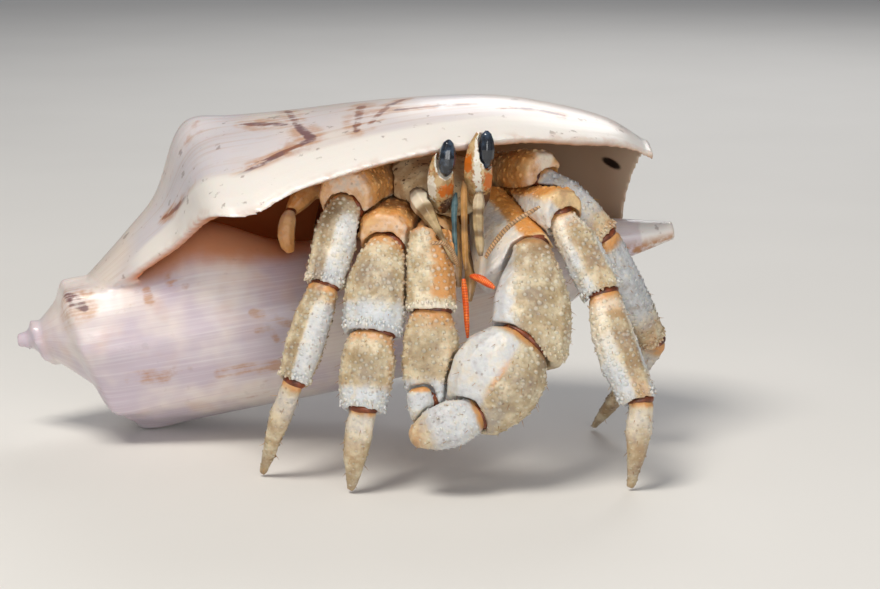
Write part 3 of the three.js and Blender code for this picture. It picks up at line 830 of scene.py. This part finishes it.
def centred(t, c, s):
    middle = ramp(c + 0.3 * s, 0.45, 0.95) * ramp(t, 0.2, 0.42)
    middle *= fade(t, 0.62, 0.86)
    return dict(
        orange=0.75 * fade(t, 0.05, 0.3) + 0.3 * ramp(-s, 0.6, 0.9),
        brown=0.7 * middle,
        white=0.9 * ramp(t, 0.62, 0.85),
        cool=ramp(t, 0.6, 0.82),
    )


def scaled(t, c, s):
    """Smooth cream on the crab's right half, orange and rough on its left."""
    rough = ramp(-s, -0.5, 0.35)
    return dict(
        orange=1.05 * rough * fade(t, 0.85, 0.97),
        brown=0.2 * ramp(s, 0.8, 1.0),
        white=0.8 * ramp(t, 0.9, 0.98) + 0.6 * ramp(-s, 0.85, 0.97),
        cool=0,
    )


def split(t, c, s):
    """White towards the crab's right, taupe towards its left."""
    outer = ramp(-s + 0.3 * (1 - t), -0.75, 0.1)
    return dict(
        orange=0.45 * outer * fade(t, 0.1, 0.5),
        brown=0.5 * outer * fade(-s, 0.6, 1.0),
        white=0.95 * (1 - outer),
        cool=0.8 * (1 - outer) + 0.3 * t,
    )


def streaked(t, c, s):
    """A white inner face, and a rust streak where it turns to the grey outer face."""
    outer = ramp(-s, -0.35, 0.3)
    return dict(
        orange=1.1 * bell(s, 0.05, 0.13) * bell(t, 0.5, 0.25),
        brown=0.42 * outer,
        white=0.95 * (1 - outer) + 0.3 * outer * ramp(t, 0.5, 0.9),
        cool=0.7,
    )


def grey(t, c, s):
    """A pale limb with a tan stripe down its middle."""
    stripe = ramp(c - 0.35 * s, 0.7, 0.98) * ramp(t, 0.1, 0.3)
    return dict(
        orange=0.65 * fade(t, 0.1, 0.35) + 0.25 * stripe,
        brown=0.5 * stripe * fade(t, 0.7, 0.9),
        white=0.75 * (1 - stripe),
        cool=0.8 * ramp(t, 0.3, 0.7) * (1 - 0.5 * stripe),
    )


def frosted(t, c, s):
    return dict(
        orange=0.2 + 0.2 * ramp(t, 0.7, 1.0),
        brown=0.2 + 0.25 * ramp(-c, 0.2, 0.8),
        white=0.85 * fade(t, 0.55, 0.95),
        cool=fade(t, 0.6, 1.0),
    )


def toe(t, c, s):
    return dict(
        orange=0.25,
        brown=0.3 + 0.35 * ramp(t, 0.3, 0.95),
        white=0.7 * fade(t, 0.2, 0.6),
        cool=0.5 * (1 - t),
    )


# The looks of the limbs in turn, each from the body to the tip.
LOOKS = dict(zip(sum(LIMBS, []), [
    wedge, split, streaked, frosted,
    hood, scaled, centred, frosted,
    hood, centred, centred, toe,
    hood, ridged, ridged, toe,
    wedge, grey, grey, toe,
    hood, frosted, frosted, toe,
]))
# These have few bumps where they are white.
SMOOTH_WHITE = (split, streaked, wedge, scaled)
# Bumps on each kind of segment: space between them, radius and height.
BUMPS = {
    "merus": (0.9, 0.26, 0.05),
    "carpus": (0.62, 0.27, 0.08),
    "propodus": (0.6, 0.25, 0.08),
    "palm": (0.64, 0.27, 0.08),
    "dactyl": (0.6, 0.18, 0.07),
}
# Teeth round the far edge of a carpus or propodus.
TOOTH_SPACING = 0.42
TOOTH_RADIUS = 0.22
TOOTH_HEIGHT = 0.3
# Rings of a bump and of a tooth or hair, each as a share of the radius and of the height.
DOME = [(1.0, -0.25), (0.86, 0.45), (0.5, 0.85), (0.12, 1.0)]
SPIKE = [(1.0, -0.1), (0.8, 0.4), (0.45, 0.75), (0.08, 1.0)]
BUMP_SIDES = 7


def scattered(points, allowed, spacing):
    """Indices of points at least about the spacing apart, in a steady random order."""
    taken = {}
    kept = []
    for i in rng.permutation(np.flatnonzero(allowed)):
        p = points[i]
        x, y, z = (p // spacing).astype(int)
        near = [taken.get((x + a, y + b, z + c)) for a, b, c in product((-1, 0, 1), repeat=3)]
        if all(q is None or np.sum((q - p) ** 2) > spacing**2 for q in near):
            taken[(x, y, z)] = p
            kept.append(i)
    return np.array(kept, int)


def sprouts(points, normals, radius, height, lean, rings, sides):
    """Small domes or spikes standing on the points."""
    up = rows_of_unit(normals + lean)
    helper = np.where(np.abs(up[:, 2:3]) < 0.9, [[0, 0, 1.0]], [[1.0, 0, 0]])
    across = rows_of_unit(np.cross(helper, up))
    other = np.cross(up, across)
    turns = np.linspace(0, 2 * math.pi, sides, endpoint=False)[None, :, None]
    circle = across[:, None] * np.cos(turns) + other[:, None] * np.sin(turns)
    made = []
    for share, rise in rings:
        out = circle * (radius * share)[:, None, None]
        made.append(points[:, None] + out + up[:, None] * (height * rise)[:, None, None])
    faces = []
    for i in range(len(rings) - 1):
        for j in range(sides):
            k = (j + 1) % sides
            faces.append((i * sides + j, i * sides + k, (i + 1) * sides + k, (i + 1) * sides + j))
    top = (len(rings) - 1) * sides
    for j in range(1, sides - 1, 2):
        faces.append((top, top + j, top + j + 1, top + min(j + 2, sides - 1)))
    first_points = np.arange(len(points)) * len(rings) * sides
    every = (np.array(faces)[None] + first_points[:, None, None]).reshape(-1, 4)
    return Surface(np.stack(made, 1).reshape(-1, 3), every)


def bumps(surface, normals, roots, radius, height, lean, rings, rise):
    """Bumps that carry on the values of the surface at their roots, and rise to their tips."""
    made = sprouts(surface.points[roots], normals[roots], radius, height, lean, rings, BUMP_SIDES)
    size = len(rings) * BUMP_SIDES
    made.paint(**{key: np.repeat(values[roots], size) for key, values in surface.values.items()})
    # The bump value rises to the tips, where the armour material paints them paler.
    shares = ramp(np.array([row[1] for row in rings]), 0.0, 0.9)
    made.paint(bump=np.tile(np.repeat(shares, BUMP_SIDES), len(roots)) * rise)
    return made


def armour_surface(node, segment):
    kind = node.split("_")[-1]
    look = LOOKS[node]
    surface = node_surface(node, voxel=0.13, rounds=5, rounding=0.28)
    t, c, s = segment.place(surface.points)
    low, high = np.percentile(t, [0.5, 99.5])
    t = (t - low) / (high - low)
    normals = surface.normals()
    rough = lattice_noise(surface.points, 0.7, 3) * 0.04 + lattice_noise(surface.points, 2.2, 5) * 0.09
    surface.points += normals * (rough - 0.02)[:, None]
    surface.paint(bump=0, **look(t, c, s))
    if kind != "merus":
        neck = fade(t, 0.04, 0.15)
        surface.values["orange"] = np.maximum(surface.values["orange"], neck)
        surface.values["white"] *= 1 - neck
    spacing, radius, height = BUMPS[kind]
    smooth_side = surface.values["white"] * (look in SMOOTH_WHITE)
    roots = scattered(surface.points, (t > 0.1) & (t < 0.93) & (c > -0.6) & (smooth_side < 0.5), spacing)
    size = rng.uniform(0.35, 1.35, len(roots))
    pieces = [bumps(surface, normals, roots, radius * size, height * size, segment.along * 0.6, DOME,
                    0.3 if kind == "merus" else 0.9)]
    if kind in ("carpus", "propodus"):
        roots = scattered(surface.points, (t > 0.92) & (t < 0.97) & (c > -0.2), TOOTH_SPACING)
        size = rng.uniform(0.6, 1.2, len(roots))
        pieces.append(bumps(surface, normals, roots, TOOTH_RADIUS * size, TOOTH_HEIGHT * size,
                            segment.along * 1.4, SPIKE, 1.0))
    return join(surface, *pieces), surface, normals


def armour_material(name, base, shade, orange):
    n = Nodes(name, roughness=0.4, coat_weight=0.12, coat_roughness=0.3, subsurface_weight=0.08,
              subsurface_scale=0.001)
    blotch = n.minus(n.noise(0.42, 5), 0.5)
    fine = n.minus(n.noise(1.6, 4), 0.5)
    wander = n.plus(n.times(blotch, 1.7), n.times(fine, 0.9))

    def patch(key, low=0.05, high=0.95):
        return n.ramp(n.plus(n.value(key), wander), low, high)

    colour = n.mix(n.patches(0.6, 3, 0.4, 0.62), base, shade)
    colour = n.mix(n.times(patch("orange"), 0.9), colour, orange)
    pale = n.mix(patch("cool", -0.1, 1.1), "e8dcc8", "c6ccd3")
    colour = n.mix(n.times(patch("white"), 0.85), colour, pale)
    taupe = n.mix(n.patches(0.35, 3, 0.45, 0.6), "8d7858", "7f6c5c")
    colour = n.mix(n.times(patch("brown"), 0.75), colour, taupe)
    # Painted highlight: the tops of the bumps are paler, while the pale points of the teeth are their real
    # colour.
    tips = n.ramp(n.value("bump"), 0.25, 1.0)
    colour = n.mix(n.times(tips, 0.42), colour, "dfd9cc")
    specks = n.minus(1.0, n.ramp(n.cells(1.25), 0.1, 0.26))
    specks = n.times(specks, n.patches(0.5, 2, 0.42, 0.58))
    colour = n.mix(n.times(specks, 0.45), colour, "6b4630")
    height = n.plus(n.noise(2.6, 4), n.times(n.cells(1.7), 0.5))
    return n.finish(colour, height, strength=0.65, distance=0.14)


# ------ soft joints
def membrane(first, second):
    """The skin in a joint: a low, wide egg between two segments."""
    points = meeting(first, second)
    centre = points.mean(0)
    spread, directions = np.linalg.eigh(np.cov((points - centre).T))
    radii = 1.15 * np.sqrt(np.maximum(spread, 0.01))
    radii[0] = max(radii[0], 0.7)
    ball = bpy.data.meshes.new("ball")
    bm = bmesh.new()
    bmesh.ops.create_uvsphere(bm, u_segments=40, v_segments=24, radius=1)
    bm.to_mesh(ball)
    bm.free()
    surface = as_quads(ball)
    surface.points = centre + (surface.points * radii) @ directions.T
    return surface


def soft_material():
    n = Nodes("soft", roughness=0.4, subsurface_weight=0.2, subsurface_scale=0.001)
    colour = n.mix(n.patches(0.8, 4, 0.35, 0.65), "84401f", "4f2817")
    colour = n.mix(n.patches(2.5, 3, 0.6, 0.75), colour, "b0703f")
    return n.finish(colour, n.noise(2.0, 4), strength=0.4, distance=0.15)


# ------ eyes, feelers and body
def long_axis(points, towards=(0, 0, 1)):
    """A segment along the points' longest direction, ending on the given side."""
    centre = points.mean(0)
    _, directions = np.linalg.eigh(np.cov((points - centre).T))
    axis = directions[:, 2] * (1 if directions[:, 2] @ towards > 0 else -1)
    t = (points - centre) @ axis
    return Segment(centre + axis * t.min(), centre + axis * t.max())


def stalk_material():
    n = Nodes("stalk", roughness=0.3, coat_weight=0.4, coat_roughness=0.15, subsurface_weight=0.1,
              subsurface_scale=0.0008)
    fine = n.times(n.minus(n.noise(2.4, 5), 0.5), 2.4)
    colour = n.mix(n.patches(1.0, 3, 0.4, 0.6), "c6a97c", "a68556")
    colour = n.mix(n.patches(2.2, 3, 0.56, 0.64), colour, "a2622c")
    colour = n.mix(n.ramp(n.plus(n.value("white"), fine), 0.35, 0.7), colour, "dcd5c6")
    colour = n.mix(n.ramp(n.plus(n.value("orange"), fine), 0.3, 0.75), colour, "c8691c")
    colour = n.mix(n.ramp(n.plus(n.value("brown"), fine), 0.35, 0.8), colour, "4b2d20")
    colour = n.mix(n.times(n.value("rim"), 0.8), colour, "3a2a22")
    return n.finish(colour, n.noise(2.4, 4), strength=0.3, distance=0.06)


def paint_stalk(surface, side, eye_points):
    """The right stalk is orange below its cornea; the left one is orange on both flanks."""
    t, c, s = long_axis(surface.points).place(surface.points)
    _, gap = nearest(surface.points, eye_points)
    if side == "right":
        orange = ramp(c, -0.1, 0.5) * ramp(s, -0.5, 0.1) * bell(t, 0.47, 0.13)
        white = ramp(-s, 0.1, 0.6) * bell(t, 0.5, 0.22)
    else:
        orange = ramp(-s, 0.25, 0.6) * bell(t, 0.68, 0.13)
        orange += ramp(s, 0.1, 0.5) * bell(t, 0.45, 0.14)
        white = bell(s, -0.05, 0.3) * ramp(c, 0.1, 0.5)
    surface.paint(
        orange=orange,
        white=np.maximum(white, bell(gap, 0.25, 0.2) * 0.8),
        brown=fade(t, 0.2, 0.42) * ramp(s, -0.6, 0.2),
        rim=fade(gap, 0.06, 0.2),
    )


def slimmed(surface, t, far_share):
    """Draws the far end of a feeler in towards its middle line."""
    steps = np.linspace(0, 1, 15)
    rows = [surface.points[np.abs(t - step) < 0.08].mean(0) for step in steps]
    middle = np.stack([np.interp(t, steps, np.array(rows)[:, k]) for k in range(3)], 1)
    share = 1 - (1 - far_share) * ramp(t, 0.15, 0.55)
    surface.points = middle + (surface.points - middle) * share[:, None]


def cornea_material():
    n = Nodes("cornea", roughness=0.22, coat_weight=0.7, coat_roughness=0.08)
    colour = n.mix(n.patches(0.9, 3, 0.4, 0.65), "171b22", "3a4859")
    return n.finish(colour, n.cells(9.0), strength=0.05, distance=0.02)


def feeler_material(name, first, second, ring_tone):
    n = Nodes(name, roughness=0.38, coat_weight=0.2, coat_roughness=0.2, subsurface_weight=0.1,
              subsurface_scale=0.0006)
    colour = n.mix(n.patches(1.2, 4, 0.4, 0.62), first, second)
    colour = n.mix(n.value("pale"), colour, "e6dcc6")
    colour = n.mix(n.times(n.value("ring"), 0.85), colour, ring_tone)
    return n.finish(colour, n.noise(5.0, 3), strength=0.2, distance=0.04)


def shield_material():
    n = Nodes("shield", roughness=0.45, coat_weight=0.15, coat_roughness=0.3)
    colour = n.mix(n.patches(0.5, 4, 0.4, 0.6), "ead8b0", "cfb083")
    colour = n.mix(n.patches(1.8, 4, 0.58, 0.66), colour, "5f452f")
    return n.finish(colour, n.noise(2.2, 4), strength=0.4, distance=0.12)


# ------ putting it together
add_piece("shell_skin", build_shell(), shell_material(), ["shell"])

ARMOUR = armour_material("armour", "d2c2a3", "b39d7a", "cb8c4a")
UPPER_ARMOUR = armour_material("upper_armour", "dfbe8c", "bd9a72", "d48c3c")
hairy = []
for node, segment in limb_segments().items():
    upper = node.endswith("merus")
    material, slot = (UPPER_ARMOUR, "upper_limb") if upper else (ARMOUR, "limb")
    whole, bare, normals = armour_surface(node, segment)
    add_piece(f"{node}_armour", whole, material, [node])
    if not upper:
        hairy.append((bare.points, normals, segment))

belly = node_surface("abdomen", voxel=0.25, rounds=6)
membranes = [membrane(a, b) for a, b in JOINTS]
add_piece("soft_skin", join(belly, *membranes), soft_material(), ["abdomen"])

SMALL_LIMBS = ["right_leg4_upper", "right_leg4_lower", "left_leg4", "right_leg5", "left_leg5"]
for node in SMALL_LIMBS:
    surface = node_surface(node, voxel=0.14, rounds=8)
    t, _, _ = long_axis(surface.points).place(surface.points)
    surface.paint(orange=0.75 - 0.3 * t, white=0.3 * t, brown=0.1)
    add_piece(f"{node}_armour", surface, UPPER_ARMOUR, [node])

STALK = stalk_material()
CORNEA = cornea_material()
for side in ("right", "left"):
    stalk = node_surface(f"eyestalk_{side}", voxel=0.09, rounds=14)
    eye = node_surface(f"cornea_{side}", voxel=0.08, rounds=12)
    paint_stalk(stalk, side, eye.points)
    add_piece(f"eyestalk_{side}_skin", stalk, STALK, [f"eyestalk_{side}"])
    add_piece(f"cornea_{side}_skin", eye, CORNEA, [f"cornea_{side}"])

ANTENNULE = feeler_material("antennule", "e2591c", "ef7f35", "b03a12")
ANTENNA = feeler_material("antenna", "c8a074", "ab8459", "442c22")
ANTENNA_BASE = feeler_material("antenna_base", "b8a078", "9b8460", "6a5236")
TAN = feeler_material("tan", "b98a52", "a3773f", "7a5a38")
TEAL = feeler_material("teal", "5f7a7c", "46646b", "35494d")
# Each feeler: its material, its rings, how deep they are cut, how slim it is at the far end and how
# pale at its root.
FEELERS = {
    "antennule_peduncle_right": (TAN, 2, 0.02, 0.9, 0),
    "antennule_peduncle_left": (TEAL, 2, 0.02, 0.75, 0),
    "antennule_flagellum_right": (ANTENNULE, 22, 0.03, 1.0, 0),
    "antennule_flagellum_left": (ANTENNULE, 16, 0.03, 1.0, 0),
    "antenna_peduncle_right": (ANTENNA_BASE, 3, 0.05, 0.62, 0.9),
    "antenna_peduncle_left": (ANTENNA_BASE, 3, 0.05, 0.8, 0.3),
    "antenna_flagellum_right": (ANTENNA, 18, 0.035, 1.0, 0),
    "antenna_flagellum_left": (ANTENNA, 24, 0.06, 1.0, 0),
}
for node, (material, rings, depth, slim, pale) in FEELERS.items():
    surface = node_surface(node, voxel=0.075, rounds=12)
    t, _, _ = long_axis(surface.points, (0, 0, -1)).place(surface.points)
    slimmed(surface, t, slim)
    groove = ramp(np.cos(2 * math.pi * t * rings), 0.2, 1.0)
    surface.points -= surface.normals() * (depth * groove)[:, None]
    surface.paint(ring=groove, pale=pale * fade(t, 0.2, 0.34))
    add_piece(f"{node}_skin", surface, material, [node])

MOUTHPART = feeler_material("mouthpart", "b8905c", "9a7850", "5a4028")
for side in ("right", "left"):
    surface = node_surface(f"maxilliped_{side}", voxel=0.12, rounds=8)
    add_piece(f"maxilliped_{side}_skin", surface, MOUTHPART, [f"maxilliped_{side}"])
shield = node_surface("carapace", voxel=0.18, rounds=8)
add_piece("shield_skin", shield, shield_material(), ["carapace"])

# ------ hairs
HAIR_LENGTH = 0.75
HAIR_RADIUS = 0.035
HAIR_SPACING = 1.7
HAIR_SIDES = 4
# On the OFBake map each limb segment has a cell, and each hair a small patch where it stands.
CELLS = 5
CELL_FILLED = 0.18
CELL_MARGIN = 0.01
PATCH = 0.003
ACROSS = np.tile([0, 1, 1, 0], len(SPIKE))
UP = np.repeat([0, 0.33, 0.66, 1], HAIR_SIDES)
tufts = []
patches = []
for i, (points, normals, segment) in enumerate(hairy):
    t, c, s = segment.place(points)
    roots = scattered(points, (t > 0.12) & (t < 0.97) & (c > -0.7), HAIR_SPACING)
    length = HAIR_LENGTH * rng.uniform(0.6, 1.3, len(roots))
    lean = segment.along * 0.9 + rng.normal(0, 0.25, (len(roots), 3))
    radius = np.full(len(roots), HAIR_RADIUS)
    tufts.append(sprouts(points[roots], normals[roots], radius, length, lean, SPIKE, HAIR_SIDES))
    around = (np.arctan2(s, c)[roots] / math.pi + 1) / 2
    cell = np.array([i % CELLS, i // CELLS]) / CELLS
    home = cell + np.stack([around, t[roots]], 1) * CELL_FILLED + CELL_MARGIN
    patches.append((home[:, None] + np.stack([ACROSS, UP], 1) * PATCH).reshape(-1, 2))
HAIR = feeler_material("hair", "8a6238", "b98a50", "8a6238")
add_piece("hairs", join(*tufts), HAIR, atlas=np.vstack(patches))

# ------ floor, light and camera
bpy.ops.mesh.primitive_plane_add(size=6, location=(0, 0, -0.0002))
floor = bpy.context.object
floor.name = "floor"
plain = Nodes("floor", roughness=0.8)
floor.data.materials.append(plain.finish(plain.mix(plain.noise(0.02, 2), "dcdad6", "e4e2de")))

world = bpy.data.worlds.new("studio")
world.use_nodes = True
background = world.node_tree.nodes["Background"]
background.inputs["Color"].default_value = (0.86, 0.9, 1.0, 1)
background.inputs["Strength"].default_value = 0.2
bpy.context.scene.world = world


def area_light(name, place, towards, size, power, colour=(1, 1, 1), shine=1.0):
    data = bpy.data.lights.new(name, "AREA")
    data.size = size
    data.energy = power
    data.specular_factor = shine
    data.color = colour
    light = new_object(name, data)
    light.location = place
    light.rotation_euler = (Vector(towards) - Vector(place)).to_track_quat("-Z", "Y").to_euler()


CENTRE = (0.0, 0.0, 0.02)
area_light("key", (-0.12, -0.16, 0.42), CENTRE, 0.16, 1.6, (1.0, 0.95, 0.87))
area_light("fill", (0.16, -0.45, 0.1), CENTRE, 0.3, 0.8, (0.94, 0.97, 1.0))
area_light("front", (0.02, -0.35, 0.035), (0.01, 0.0, 0.03), 0.2, 0.3, (1.0, 0.97, 0.93), 0.15)
area_light("rim", (0.1, 0.4, 0.3), CENTRE, 0.25, 0.6)
bpy.context.scene.view_settings.view_transform = "Standard"

CAMERA_DEGREES_UP = 12
CAMERA_DISTANCE = 0.272
TARGET = Vector((0.01115, -0.006975, 0.0189))
lens = bpy.data.cameras.new("camera")
lens.lens = 100
lens.sensor_width = 36
camera = new_object("camera", lens)
tilt = math.radians(CAMERA_DEGREES_UP)
camera.location = TARGET + Vector((0, -math.cos(tilt), math.sin(tilt))) * CAMERA_DISTANCE
camera.rotation_euler = (math.pi / 2 - tilt, 0, 0)
bpy.context.scene.camera = camera
